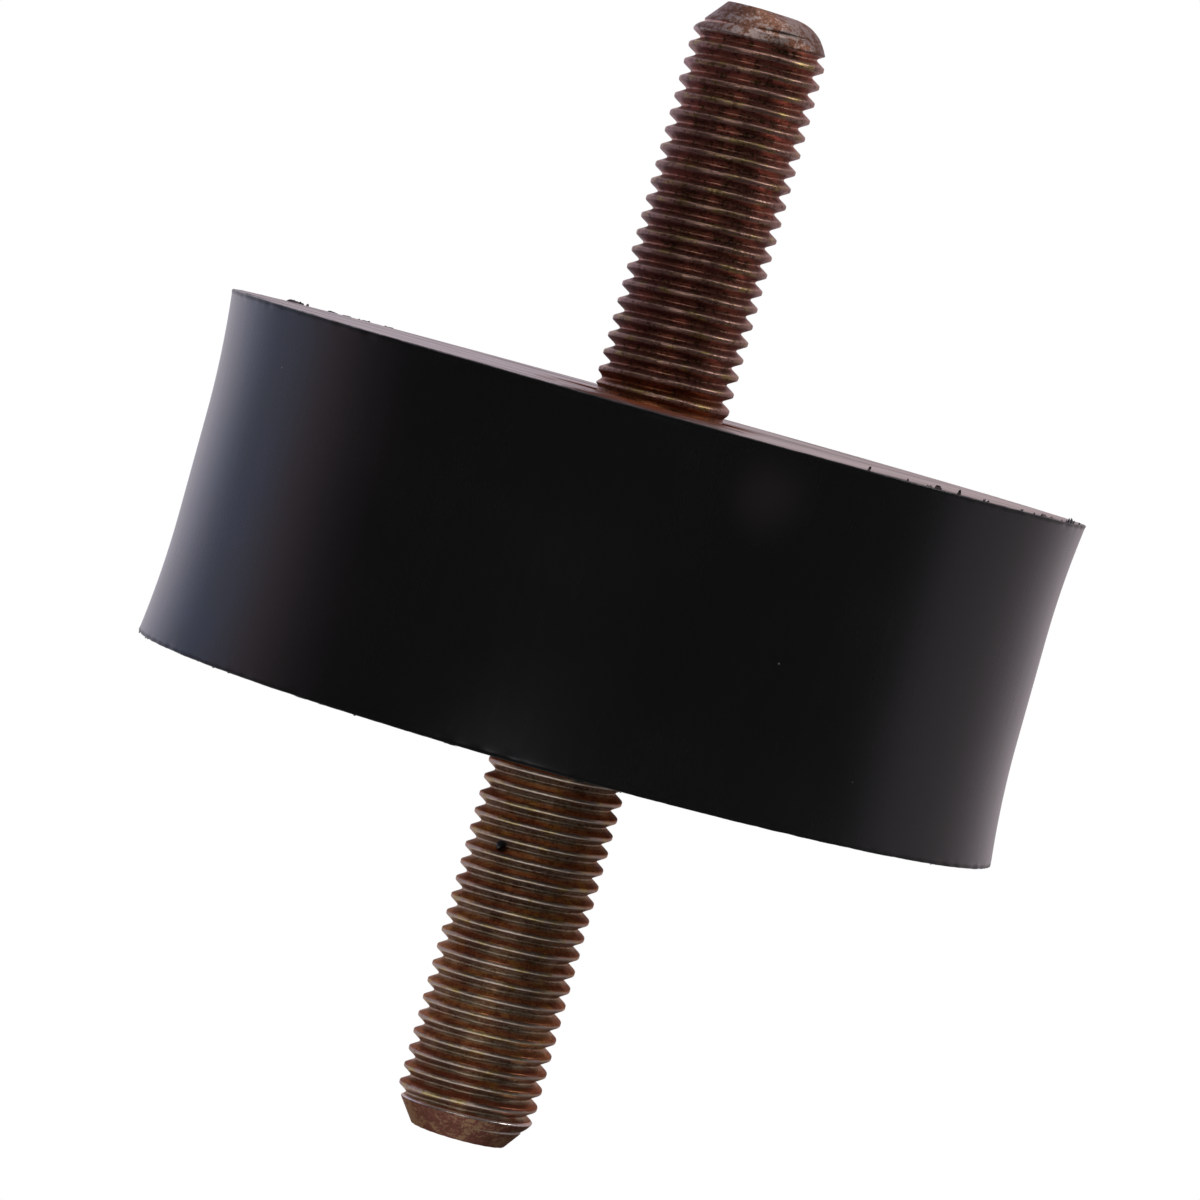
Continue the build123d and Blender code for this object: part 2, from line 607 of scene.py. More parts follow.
@dataclass(frozen=True)
class ThreadFinish:
    """A threaded stud's finish: one tarnish painted lighter on the tip-side flank and darker on the other as
    painted light and shade, worn crests with a painted highlight, roots with a painted pale highlight line,
    and a dull tip.
    """

    name: str
    pointing: Pointing
    thread: Thread
    face: float
    length: float
    # Flank colours: one tarnish, lighter on the tip side and darker on the face side, as painted light and
    # shade
    out_flank_painted_light: Colour
    in_flank_painted_shade: Colour
    stain: Colour
    pitted: Colour
    # root and root_glint_streak: a painted pale highlight line along the roots, with yellow glints
    root: Colour
    root_glint_streak: Colour
    gilt: Colour
    # crest: worn metal on the crests, which also carries a painted highlight
    crest: Colour
    gilt_crest: Colour
    base_band: Colour
    tip: Colour
    tip_stain: Colour
    # land: a painted bright glint on the last crests by the tip
    land: Colour
    edge_tint: Colour
    clean_tip: float
    crest_share: float
    crest_reach: float
    # Where the crests' painted highlight lies: shifted to the tip side, less on the +X side
    crest_highlight_shift: float
    right_highlight_shift: float
    root_glint_share: float
    root_glint_reach: float
    root_glint_shift: float
    gilt_share: float
    stain_share: float
    grit: float
    low_stain: float
    high_stain: float
    flank_roughness: float
    crest_roughness: float
    metallic: float
    seed: float
    fine_size: float = 0.30 * MM
    fleck_size: float = 0.9 * MM
    patch_size: float = 4.5 * MM
    streak_size: float = 3.2 * MM
    gilt_size: float = 2.6 * MM
    relief_depth: float = 0.085 * MM
    chamfer_skin: Span = (0.09 * MM, 0.03 * MM)
    chamfer_depth: Span = (4.6 * MM, 4.0 * MM)
    end_depth: Span = (1.5 * MM, 1.1 * MM)
    last_glint_skin: Span = (0.8 * MM, 0.4 * MM)
    last_glint_depth: Span = (4.4 * MM, 3.8 * MM)
    land_glint_depth: Span = (2.6 * MM, 1.4 * MM)
    groove_fade: float = 0.5 * MM
    base_height: Span = (3.4 * MM, 1.6 * MM)
    high_depth: Span = (14.0 * MM, 5.0 * MM)
    right_highlight_side: Span = (0.0, 4.0 * MM)

    def material(self) -> bpy.types.Material:
        """Builds the material. It follows the helix, found from the height and the turn about the stud.

        The phase runs from 0 to 1 over each turn: 0 at a root, 0.5 at a crest, and more on the tip's side.

        Returns:
            The material.
        """
        s = Surface(self.name)
        sense = float(self.pointing.value)
        out = (s.z - self.face) * sense
        turned = s.turn * sense - self.thread.start_turn
        phase = s.math("FRACT", out / self.thread.pitch - turned + SPARE_TURNS)
        fine = s.grain(s.place, self.fine_size, detail=3.0, rough=0.6, seed=self.seed)
        flecks = s.grain(s.place, self.fleck_size, detail=3.0, rough=0.65, seed=self.seed + 1.0)
        patches = s.grain(s.place, self.patch_size, detail=2.0, seed=self.seed + 2.0)
        drawn = s.stretch(s.place, (1.0, 1.0, 5.0))
        along = s.grain(drawn, self.streak_size, detail=3.0, rough=0.6, seed=self.seed + 3.0)
        drawn = s.stretch(s.place, (1.0, 1.0, 2.0))
        gilded = s.grain(drawn, self.gilt_size, detail=3.0, rough=0.6, seed=self.seed + 5.0)

        # Where the cut chamfer, its last turns and the mounting face are near
        to_tip = self.length - out
        uncut = self.thread.tip_radius + to_tip * self.thread.tip_slope - s.radius
        near_tip = s.math("MAXIMUM", s.step(uncut, *self.chamfer_skin), s.step(to_tip, *self.end_depth))
        near_tip = near_tip * s.step(to_tip, *self.chamfer_depth)
        # The last crest by the chamfer, and the land above it, get a painted bright glint
        last = s.step(uncut, *self.last_glint_skin) * s.step(to_tip, *self.last_glint_depth)
        far, near = self.land_glint_depth
        land_glint = s.step(to_tip, self.clean_tip + far, self.clean_tip + near)
        grooved = s.step(to_tip, self.clean_tip, self.clean_tip + self.groove_fade)
        near_base = s.step(out + (flecks - 0.5) * (0.8 * MM), *self.base_height)

        # Flanks: one tarnish, painted lighter on the tip side and darker on the face side (painted light and
        # shade), gilded and stained in patches
        painted_flank_light = s.step(phase, 0.46, 0.54)
        colour = s.mix(painted_flank_light, self.in_flank_painted_shade, self.out_flank_painted_light)
        low = s.step(out, self.length * 0.85, self.length * 0.15) * self.low_stain
        mottle = patches * 0.34 + flecks * 0.36 + fine * 0.30
        high = s.step(to_tip, *self.high_depth) * self.high_stain
        stained = s.step(mottle + low * 0.12 + high * 0.12, 0.44, 0.58) * self.stain_share
        colour = s.mix(s.step(gilded, 0.50, 0.64) * self.gilt_share, colour, self.gilt)
        colour = s.mix(stained, colour, self.stain)

        # Roots painted with a pale highlight line with yellow glints in it, then the band by the mounting
        # face, and pits
        low_part = abs(s.math("FRACT", phase + 0.5 - self.root_glint_shift) * 2.0 - 1.0)
        root = s.step(low_part, self.root_glint_reach, self.root_glint_reach * 0.4) * self.root_glint_share * grooved
        colour = s.mix(root * s.step(along, 0.30, 0.60), colour, self.root)
        colour = s.mix(root * s.step(flecks, 0.56, 0.66), colour, self.root_glint_streak)
        colour = s.mix(near_base, colour, self.base_band)
        pits = s.step(flecks * 0.45 + fine * 0.55, 0.50, 0.57) * self.grit
        colour = s.mix(pits, colour, self.pitted)

        # Crests, worn in a broken line and painted with a highlight that lies on their tip side, nearer the
        # crest on the +X side; the last crests and the land get a painted bright glint
        shift = self.crest_highlight_shift - s.step(s.x, *self.right_highlight_side) * self.right_highlight_shift
        shown = 1.0 - abs((phase - shift) * 2.0 - 1.0)
        line = shown + (fine - 0.5) * 0.30 + (flecks - 0.5) * 0.30 + (along - 0.5) * 0.40
        line = line + land_glint * 0.06 + last * 0.58
        worn_and_highlight = s.step(line, self.crest_reach, self.crest_reach + 0.16) * self.crest_share * grooved
        worn_and_highlight = worn_and_highlight * (1.0 - pits)
        crest = s.mix(s.step(gilded * 0.6 + fine * 0.4, 0.50, 0.58) * 0.8, self.crest, self.gilt_crest)
        colour = s.mix(worn_and_highlight, colour, s.mix(land_glint, crest, self.land))

        # The bare tip
        blotch = patches * 0.25 + flecks * 0.40 + fine * 0.35
        bare = s.mix(s.step(blotch, 0.45, 0.53), self.tip, self.tip_stain)
        bare = s.mix(s.step(blotch, 0.56, 0.60) * 0.8, bare, self.pitted)
        colour = s.mix(near_tip, colour, bare)

        rough = s.blend(worn_and_highlight, self.flank_roughness + (flecks - 0.5) * 0.16, self.crest_roughness)
        rough = rough + near_tip * 0.08
        relief = fine * 0.5 + flecks * 0.5
        return s.finish(
            {
                "Base Color": colour,
                "Metallic": self.metallic,
                "Specular Tint": (*self.edge_tint, 1.0),
                "Roughness": rough,
                "Normal": s.bump(relief, self.relief_depth, 0.9),
            }
        )


# ---------------------------------------------------------------- meshes


def lathe(
    stations: list[Station], segments: int, wear: Callable[[Point], Point] | None = None
) -> bmesh.types.BMesh:
    """Turns a section about the Z axis.

    Args:
        stations: radius and height of each point of the section. A radius of 0 makes a pole.
        segments: how many facets go round.
        wear: moves a finished point, to roughen an edge.

    Returns:
        The turned surface. It is open where its section ends off the axis.
    """
    made = bmesh.new()
    rings = []
    for radius, height in stations:
        count = segments if radius > 0.0 else 1
        angles = [math.tau * place / segments for place in range(count)]
        points = [(radius * math.cos(angle), radius * math.sin(angle), height) for angle in angles]
        rings.append([made.verts.new(wear(point) if wear else point) for point in points])
    for first, second in zip(rings, rings[1:]):
        for place in range(segments):
            following = place + 1
            corners = [
                first[place % len(first)],
                first[following % len(first)],
                second[following % len(second)],
                second[place % len(second)],
            ]
            made.faces.new(list(dict.fromkeys(corners)))
    return made


def evenly(first: Station, last: Station, steps: int) -> list[Station]:
    """Points on a straight run of a section, without its first.

    Args:
        first: where the run starts.
        last: where it ends.
        steps: how many points it has.

    Returns:
        The points.
    """
    shares = [step / steps for step in range(1, steps + 1)]
    return [(first[0] + (last[0] - first[0]) * t, first[1] + (last[1] - first[1]) * t) for t in shares]


def roughly(point: Point, size: float, seed: float) -> float:
    """Smooth noise about 0 at a point.

    Args:
        point: where it is read, in metres.
        size: about how large its patches are, in metres.
        seed: another number gives other patches.

    Returns:
        The noise, from about -1 to 1.
    """
    return noise.noise(Vector(point) / size + Vector((seed, seed, seed)))


@dataclass
class Piece:
    """One visible piece: its mesh, finish, slot and the CAD nodes that it stands for."""

    name: str
    slot: str
    finish: bpy.types.Material
    nodes: tuple[str, ...] = ()
    crease: float = 40.0

    def place(self, made: bmesh.types.BMesh) -> bpy.types.Object:
        """Welds and closes the mesh, dresses it and hands it to the frame.

        Args:
            made: the piece's faces, in place.

        Returns:
            The finished object.
        """
        bmesh.ops.remove_doubles(made, verts=made.verts, dist=WELD)
        bmesh.ops.recalc_face_normals(made, faces=made.faces)
        if made.calc_volume(signed=True) < 0.0:
            bmesh.ops.reverse_faces(made, faces=made.faces)
        open_edges = sum(1 for edge in made.edges if not edge.is_manifold)
        mesh = bpy.data.meshes.new(self.name)
        made.to_mesh(mesh)
        made.free()
        mesh.materials.clear()
        mesh.materials.append(self.finish)
        mesh.polygons.foreach_set("material_index", [0] * len(mesh.polygons))
        mesh.polygons.foreach_set("use_smooth", [True] * len(mesh.polygons))
        mesh.set_sharp_from_angle(angle=math.radians(self.crease))
        mesh.update()
        piece = add_object(self.name, mesh)
        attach(piece, ROOT)
        if self.nodes:
            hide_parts(*self.nodes)
        triangles = sum(len(polygon.vertices) - 2 for polygon in mesh.polygons)
        log.info("%s: %d triangles, %d open edges", self.name, triangles, open_edges)
        return piece


# ---------------------------------------------------------------- rubber body


@dataclass
class RubberBody:
    """The waisted moulding, with the recesses that hold the plates and the stud heads."""

    finish: RubberFinish
    waist_radius: float = 49.1 * MM
    waist_straight: float = 12.0 * MM
    head_radius: float = 14.0 * MM
    head_break: float = 1.0 * MM
    corner: float = 0.16 * MM
    lip_drop: float = 0.20 * MM
    lip_height: float = 0.9 * MM
    lip_width: float = 0.5 * MM
    rim_pull: float = 0.16 * MM
    side_wave: float = 0.03 * MM
    side_rows: int = 34
    side_crowding: float = 1.25
    segments: int = 600

    def __post_init__(self) -> None:
        """Reads the moulding's height, rims and recesses from the CAD nodes."""
        low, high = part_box("rubber_body")
        self.bottom = low.z
        self.top = high.z
        self.middle = (low.z + high.z) / 2
        self.rim_radius = high.x
        self.plate_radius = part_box("upper_plate")[1].x
        self.plate_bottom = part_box("upper_plate")[0].z
        self.head_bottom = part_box("upper_stud")[0].z

    def side_radius(self, height: float) -> float:
        """Outside radius of the side.

        Args:
            height: where it is taken.

        Returns:
            The radius there: straight at the waist, then an arc to the rim.
        """
        reach = (self.top - self.bottom) / 2 - self.waist_straight / 2
        flare = self.rim_radius - self.waist_radius
        arc = (reach * reach + flare * flare) / (2 * flare)
        off = max(abs(height - self.middle) - self.waist_straight / 2, 0.0)
        return self.waist_radius + arc - math.sqrt(arc * arc - off * off)

    def upper_half(self) -> list[Station]:
        """The upper half of the section, from the axis over the lip to the middle of the waist.

        Returns:
            Its points.
        """
        head_low = self.head_bottom
        lip = (self.rim_radius - self.corner, self.top)
        pocket = [
            (0.0, head_low),
            (self.head_radius - self.head_break, head_low),
            (self.head_radius, head_low + self.head_break),
            (self.head_radius, self.plate_bottom),
            (self.plate_radius, self.plate_bottom),
        ]
        wall = evenly(pocket[-1], (self.plate_radius, self.top), 4)
        land = evenly(wall[-1], lip, 6)
        turn = [math.radians(angle) for angle in (22.5, 45.0, 67.5, 90.0)]
        corner = [
            (lip[0] + self.corner * math.sin(angle), self.top - self.corner * (1.0 - math.cos(angle)))
            for angle in turn
        ]
        reach = self.top - self.corner - self.middle
        shares = [1.0 - (row / self.side_rows) ** self.side_crowding for row in range(self.side_rows)]
        heights = [self.middle + reach * share for share in shares]
        side = [(self.side_radius(height), height) for height in heights if height < corner[-1][1] - HAIR]
        return pocket + wall + land + corner + side

    def wear(self, point: Point) -> Point:
        """Roughens the lips, as the torn edge of a moulding is.

        Args:
            point: a point of the perfect moulding.

        Returns:
            Where the real one has it, never outside the perfect one.
        """
        x, y, z = point
        radius = math.hypot(x, y)
        if radius < self.plate_radius - HAIR:
            return point
        depth = (self.top - self.bottom) / 2 - abs(z - self.middle)
        at_lip = max(0.0, 1.0 - depth / self.lip_height)
        on_face = depth < 2 * HAIR
        inner = max(0.0, 1.0 - (radius - self.plate_radius) / self.lip_width) if on_face else 0.0
        ragged = 0.5 + 0.5 * roughly(point, 2.4 * MM, 3.0) + 0.35 * roughly(point, 0.8 * MM, 7.0)
        ragged = min(max(ragged, 0.0), 1.0)
        drop = at_lip * self.lip_drop * ragged * (0.35 + 0.65 * inner)
        outer = max(0.0, 1.0 - (self.rim_radius - radius) / self.lip_width) * at_lip
        pull = outer * self.rim_pull * max(0.0, roughly(point, 1.7 * MM, 11.0) + 0.25)
        wave = self.side_wave * (0.5 + 0.5 * roughly(point, 14.0 * MM, 5.0)) * (1.0 - at_lip)
        shrink = 1.0 - (pull + wave) / radius
        return (x * shrink, y * shrink, z - math.copysign(drop, z - self.middle))

    def build(self) -> bpy.types.Object:
        """Turns the section and dresses it.

        Returns:
            The rubber body.
        """
        upper = self.upper_half()
        lower = [(radius, 2 * self.middle - height) for radius, height in reversed(upper)]
        material = self.finish.material()
        piece = Piece("moulded_body", "rubber", material, ("rubber_body",), crease=50.0)
        return piece.place(lathe(upper + lower[1:], self.segments, self.wear))


# ---------------------------------------------------------------- plates


@dataclass
class Plate:
    """A round plate that the rubber is bonded to, level with its rim."""

    node: str
    name: str
    pointing: Pointing
    finish: bpy.types.Material
    hole_radius: float = 8.5 * MM
    edge_break: float = 0.5 * MM
    face_round: float = 0.12 * MM
    rings: int = 14
    segments: int = 360

    def build(self) -> bpy.types.Object:
        """Turns the plate's section round its hole.

        Returns:
            The plate.
        """
        low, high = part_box(self.node)
        radius = high.x
        outwards = self.pointing is Pointing.UP
        face, back = (high.z, low.z) if outwards else (low.z, high.z)
        into = -self.pointing.value
        nearly = 0.3 * self.face_round
        section = [
            (self.hole_radius, back),
            (self.hole_radius, face + into * self.face_round),
            (self.hole_radius + self.face_round, face),
        ]
        section += evenly(section[-1], (radius - self.face_round, face), self.rings)
        section += [
            (radius - nearly, face + into * nearly),
            (radius, face + into * self.face_round),
            (radius, back - into * self.edge_break),
            (radius - self.edge_break, back),
            (self.hole_radius, back),
        ]
        piece = Piece(self.name, "plate_steel", self.finish, (self.node,), crease=35.0)
        return piece.place(lathe(section, self.segments))


# ---------------------------------------------------------------- studs


@dataclass
class ThreadedStud:
    """A headed stud: a head and press neck behind the plate, a plain shank, and a thread with its run-out."""

    node: str
    name: str
    slot: str
    pointing: Pointing
    finish: bpy.types.Material
    worn_corner: float
    land_edge: float
    blunt_turns: float
    thread: Thread
    shank_radius: float = 7.35 * MM
    thread_start: float = 0.3 * MM
    crest_start: float = 0.4 * MM
    crest_growth: float = 0.90
    root_start: float = 0.8 * MM
    root_full: float = 2.6 * MM
    head_radius: float = 14.0 * MM
    head_break: float = 1.0 * MM
    neck_radius: float = 8.5 * MM
    neck_recess: float = 0.4 * MM
    neck_break: float = 0.15 * MM
    root_flat: float = 0.10
    flank_share: float = 0.68
    form_rounding: float = 0.26
    crest_rounding: float = 0.20 * MM
    coarse_size: float = 3.0 * MM
    fine_size: float = 0.7 * MM
    blunt_depth: float = 0.24 * MM
    blunt_unevenness: float = 0.5 * MM
    small_dents: float = 0.08
    large_dents: float = 0.14
    dented_from: Span = (1.0 * MM, 3.0 * MM)
    bar_unevenness: float = 0.05 * MM
    knock_radius: float = 4.9 * MM
    knocked_face: float = 2.9 * MM
    knocked_side: Span = (-0.15, 0.75)
    saw_size: float = 0.9 * MM
    saw_hollow: float = 0.02 * MM
    saw_depth: float = 0.22 * MM
    rows_per_turn: int = 24
    segments: int = 160

    def __post_init__(self) -> None:
        """Reads where the stud starts and ends from the CAD nodes."""
        low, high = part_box(self.node)
        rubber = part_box("rubber_body")
        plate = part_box("upper_plate")
        self.face = rubber[1].z if self.pointing is Pointing.UP else rubber[0].z
        end = high.z if self.pointing is Pointing.UP else low.z
        back = low.z if self.pointing is Pointing.UP else high.z
        self.length = abs(end - self.face)
        self.head_depth = abs(back - self.face)
        self.plate_thickness = plate[1].z - plate[0].z

    def turns(self) -> bpy.types.Mesh:
        """Makes the threaded length and the end face with Geometry Nodes, from a grid along the helix.

        Returns:
            The mesh, standing on the mounting face and pointing up, open only at its first ring.
        """
        thread = self.thread
        rows = self.rows_per_turn * math.ceil((self.length - self.thread_start) / thread.pitch + 2.0)
        t = Shape(
            f"{self.name}_thread",
            {
                "Rows": rows,
                "Rows per turn": self.rows_per_turn,
                "Segments": self.segments,
                "Pitch": thread.pitch,
                "Start turn": thread.start_turn,
                "Start": self.thread_start,
                "End": self.length,
                "Crest radius": thread.crest_radius,
                "Root radius": thread.root_radius,
                "Shank radius": self.shank_radius,
                "Crest start": self.crest_start,
                "Crest growth": self.crest_growth,
                "Root start": self.root_start,
                "Root full": self.root_full,
                "Tip radius": thread.tip_radius,
                "Tip slope": thread.tip_slope,
                "Worn corner": self.worn_corner,
                "Land edge": self.land_edge,
                "Blunt length": self.blunt_turns * thread.pitch,
                "Material": self.finish,
            },
        )
        size = t.size
        vertices = {"Vertices X": size["Rows"] + 1.0, "Vertices Y": size["Segments"] + 1.0}
        grid = t.value("GeometryNodeMeshGrid", "Mesh", inputs={"Size X": 1.0, "Size Y": 1.0, **vertices})
        across, round_, _ = t.parts(t.value("GeometryNodeInputPosition", 0))
        turn = round_ + 0.5
        row = (across + 0.5) * size["Rows"] / size["Rows per turn"]
        raw = size["Start"] + size["Pitch"] * (row + turn - 1.0)
        out = t.math("MINIMUM", t.math("MAXIMUM", raw, size["Start"]), size["End"])
        inward = t.math("MAXIMUM", 1.0 - t.math("MAXIMUM", raw - size["End"], 0.0) / size["Pitch"], 0.0)
        angle = (turn + size["Start turn"]) * math.tau
        cosine = t.math("COSINE", angle)
        sine = t.math("SINE", angle)
        place = t.vector(cosine * size["Crest radius"], sine * size["Crest radius"], out)

        # Sixty-degree thread form with a narrow rounded crest and a wider rounded root
        phase = t.math("FRACT", out / size["Pitch"] - turn + SPARE_TURNS)
        ridge = 1.0 - abs(phase * 2.0 - 1.0)
        form = (ridge - self.root_flat) / self.flank_share
        form = t.math("SMOOTH_MIN", form, 1.0, self.form_rounding)
        form = t.math("SMOOTH_MAX", form, 0.0, self.form_rounding)
        grown = t.math("MAXIMUM", out - size["Crest start"], 0.0) * size["Crest growth"]
        crest = t.math("MINIMUM", size["Shank radius"] + grown, size["Crest radius"])
        cut = t.step(out, size["Root start"], size["Root full"])
        root = t.blend(cut, size["Shank radius"], size["Root radius"])

        # Wear: dents in the crests, blunt turns by the tip and a slightly uneven bar
        coarse = t.grain(place, self.coarse_size, detail=2.0, seed=3.0) - 0.5
        fine = t.grain(place, self.fine_size, detail=2.0, seed=5.0) - 0.5
        depth = size["End"] - out
        blunt = t.step(depth, size["Blunt length"] + 0.1 * MM, size["Blunt length"] * 0.3)
        crest = crest - blunt * (self.blunt_depth + coarse * self.blunt_unevenness)
        dents = t.step(fine, 0.06, 0.26) * self.small_dents + t.step(coarse, 0.10, 0.32) * self.large_dents
        crest = crest - dents * MM * t.step(out, *self.dented_from)
        radius = root + (size["Crest radius"] - root) * form
        radius = t.math("SMOOTH_MIN", radius, crest, self.crest_rounding + blunt * self.crest_rounding)
        radius = radius + coarse * self.bar_unevenness
        begun = t.step(out, size["Start"], size["Start"] + 0.5 * MM)
        radius = t.blend(begun, size["Shank radius"], radius)

        # Tip: a cut chamfer, which has been knocked round towards one side
        cone = size["Tip radius"] + depth * size["Tip slope"]
        knock = self.knock_radius
        drop = t.math("MAXIMUM", knock - depth, 0.0)
        rounded = self.knocked_face + t.math("SQRT", t.math("MAXIMUM", knock * knock - drop * drop, 0.0))
        rounded = rounded + t.math("MAXIMUM", depth - knock, 0.0) * 4.0
        side = t.step(cosine + sine * -0.25, *self.knocked_side) * size["Worn corner"]
        limit = t.blend(side, cone, rounded) + (coarse * 0.30 + fine * 0.16) * MM * side
        radius = t.math("SMOOTH_MIN", radius, limit, size["Land edge"])

        # End face: a sawn disc, slightly hollow, that closes at the axis
        radius = radius * inward
        on_face = t.vector(cosine * radius, sine * radius, size["End"])
        sawn = t.grain(on_face, self.saw_size, detail=3.0, seed=7.0)
        level = out - (1.0 - inward) * (self.saw_hollow + sawn * self.saw_depth)
        spot = t.vector(cosine * radius, sine * radius, level)
        shaped = t.value("GeometryNodeSetPosition", 0, inputs={"Geometry": grid, "Position": spot})
        welded = t.value("GeometryNodeMergeByDistance", 0, inputs={"Geometry": shaped, "Distance": WELD})
        return t.run(welded)

    def root_end(self) -> bmesh.types.BMesh:
        """Turns the head, the press neck and the start of the shank.

        Returns:
            The turned surface, open where the thread begins.
        """
        head = -self.head_depth
        plate_back = -self.plate_thickness
        return lathe(
            [
                (0.0, head),
                (self.head_radius * 0.5, head),
                (self.head_radius - self.head_break, head),
                (self.head_radius, head + self.head_break),
                (self.head_radius, plate_back),
                (self.neck_radius, plate_back),
                (self.neck_radius, -self.neck_recess),
                (self.shank_radius + self.neck_break, -self.neck_recess),
                (self.shank_radius, -self.neck_recess + self.neck_break),
                (self.shank_radius, self.thread_start),
            ],
            self.segments,
        )

    def build(self) -> bpy.types.Object:
        """Welds the thread to the head and sets the stud in place.

        Returns:
            The stud.
        """
        made = self.root_end()
        mesh = self.turns()
        made.from_mesh(mesh)
        bpy.data.meshes.remove(mesh)
        if self.pointing is Pointing.DOWN:
            bmesh.ops.transform(made, matrix=Matrix.Rotation(math.pi, 4, "X"), verts=made.verts)
        bmesh.ops.translate(made, vec=(0.0, 0.0, self.face), verts=made.verts)
        piece = Piece(self.name, self.slot, self.finish, (self.node,), crease=80.0)
        return piece.place(made)


# ---------------------------------------------------------------- torn flash and crumbs


@dataclass
class Flash:
    """Torn bits of moulding flash along an arc of a rim, made with Geometry Nodes."""

    name: str
    finish: bpy.types.Material
    level: float
    first_angle: float
    last_angle: float
    count: int
    longest: float
    tallest: float
    lean: float
    seed: int
    rim_radius: float = 49.55 * MM
    scatter: Span = (-0.25 * MM, 0.30 * MM)
    thickness: Span = (0.10 * MM, 0.22 * MM)
    shortest_share: float = 0.15
    lowest_share: float = 0.20
    tear_size: float = 0.35 * MM
    tear_share: float = 0.7

    def build(self) -> bpy.types.Object:
        """Scatters the bits and realizes them.

        Returns:
            The flash along this arc.
        """
        t = Shape(
            self.name,
            {
                "Count": self.count,
                "Radius": self.rim_radius,
                "Level": self.level,
                "First angle": math.radians(self.first_angle),
                "Last angle": math.radians(self.last_angle),
                "Longest": self.longest,
                "Tallest": self.tallest,
                "Lean": self.lean,
                "Seed": self.seed,
                "Material": self.finish,
            },
        )
        size = t.size

        def chance(least: Term, most: Term, add: float) -> Value:
            """A random number for each bit, from least to most."""
            inputs = {2: least, 3: most, 8: size["Seed"] + add}
            return t.value("FunctionNodeRandomValue", 1, {"data_type": "FLOAT"}, inputs)

        angle = chance(size["First angle"], size["Last angle"], 0.0)
        radius = size["Radius"] + chance(*self.scatter, 1.0)
        spot = t.vector(t.math("COSINE", angle) * radius, t.math("SINE", angle) * radius, size["Level"])
        points = t.value("GeometryNodePoints", 0, inputs={"Count": size["Count"], "Position": spot})
        flake = t.value("GeometryNodeMeshIcoSphere", "Mesh", inputs={"Radius": 0.5, "Subdivisions": 3})
        share = chance(0.0, 1.0, 2.0) ** 2.0
        length = size["Longest"] * (self.shortest_share + (1.0 - self.shortest_share) * share)
        share = chance(0.0, 1.0, 3.0) ** 2.0
        height = size["Tallest"] * (self.lowest_share + (1.0 - self.lowest_share) * share)
        least = size["Lean"] * -1.0
        lean = t.vector(
            chance(least, size["Lean"], 4.0), chance(least, size["Lean"], 5.0), angle + math.pi / 2
        )
        scale = t.vector(length, chance(*self.thickness, 6.0), height)
        spread = {"Points": points, "Instance": flake, "Rotation": lean, "Scale": scale}
        placed = t.value("GeometryNodeInstanceOnPoints", 0, inputs=spread)
        real = t.value("GeometryNodeRealizeInstances", 0, inputs={0: placed})
        here = t.value("GeometryNodeInputPosition", 0)
        ragged = t.grain(here, self.tear_size, detail=2.0, seed=1.0) - 0.5
        lifted = t.vector(0.0, 0.0, ragged * size["Tallest"] * self.tear_share)
        shaped = t.value("GeometryNodeSetPosition", 0, inputs={"Geometry": real, "Offset": lifted})
        made = bmesh.new()
        mesh = t.run(shaped)
        made.from_mesh(mesh)
        bpy.data.meshes.remove(mesh)
        return Piece(self.name, "rubber", self.finish, crease=180.0).place(made)


@dataclass
class Crumb:
    """A crumb of black rubber that is caught in a thread."""

    finish: bpy.types.Material
    at: Point = (-4.0 * MM, -6.3 * MM, -12.1 * MM)
    size: float = 0.95 * MM
    stretch: Point = (0.95, 0.9, 1.25)
    skin_size: float = 0.45 * MM
    skin_share: float = 0.5
    lean: float = 18.0

    def build(self) -> bpy.types.Object:
        """Shapes the crumb from a ball with a rough skin.

        Returns:
            The crumb.
        """
        made = bmesh.new()
        bmesh.ops.create_icosphere(made, subdivisions=3, radius=self.size / 2)
        for vert in made.verts:
            swell = 1.0 + self.skin_share * roughly(tuple(vert.co), self.skin_size, 4.0)
            vert.co = vert.co * Vector(self.stretch) * swell
        lean = Matrix.Rotation(math.radians(self.lean), 4, "Y")
        bmesh.ops.transform(made, matrix=Matrix.Translation(self.at) @ lean, verts=made.verts)
        return Piece("rubber_crumb", "rubber", self.finish, crease=180.0).place(made)


# ---------------------------------------------------------------- studio


@dataclass(frozen=True)
class Lamp:
    """One soft area lamp."""

    name: str
    at: Point
    wide: float
    high: float
    power: float
    colour: Colour = (1.0, 1.0, 1.0)

    def build(self, target: Vector) -> None:
        """Hangs the lamp.

        Args:
            target: what it points at.
        """
        light = bpy.data.lights.new(self.name, "AREA")
        light.shape = "RECTANGLE"
        light.size = self.wide
        light.size_y = self.high
        light.energy = self.power
        light.color = self.colour
        lamp = add_object(self.name, light)
        lamp.location = self.at
        lamp.rotation_mode = "QUATERNION"
        lamp.rotation_quaternion = (target - Vector(self.at)).to_track_quat("-Z", "Y")


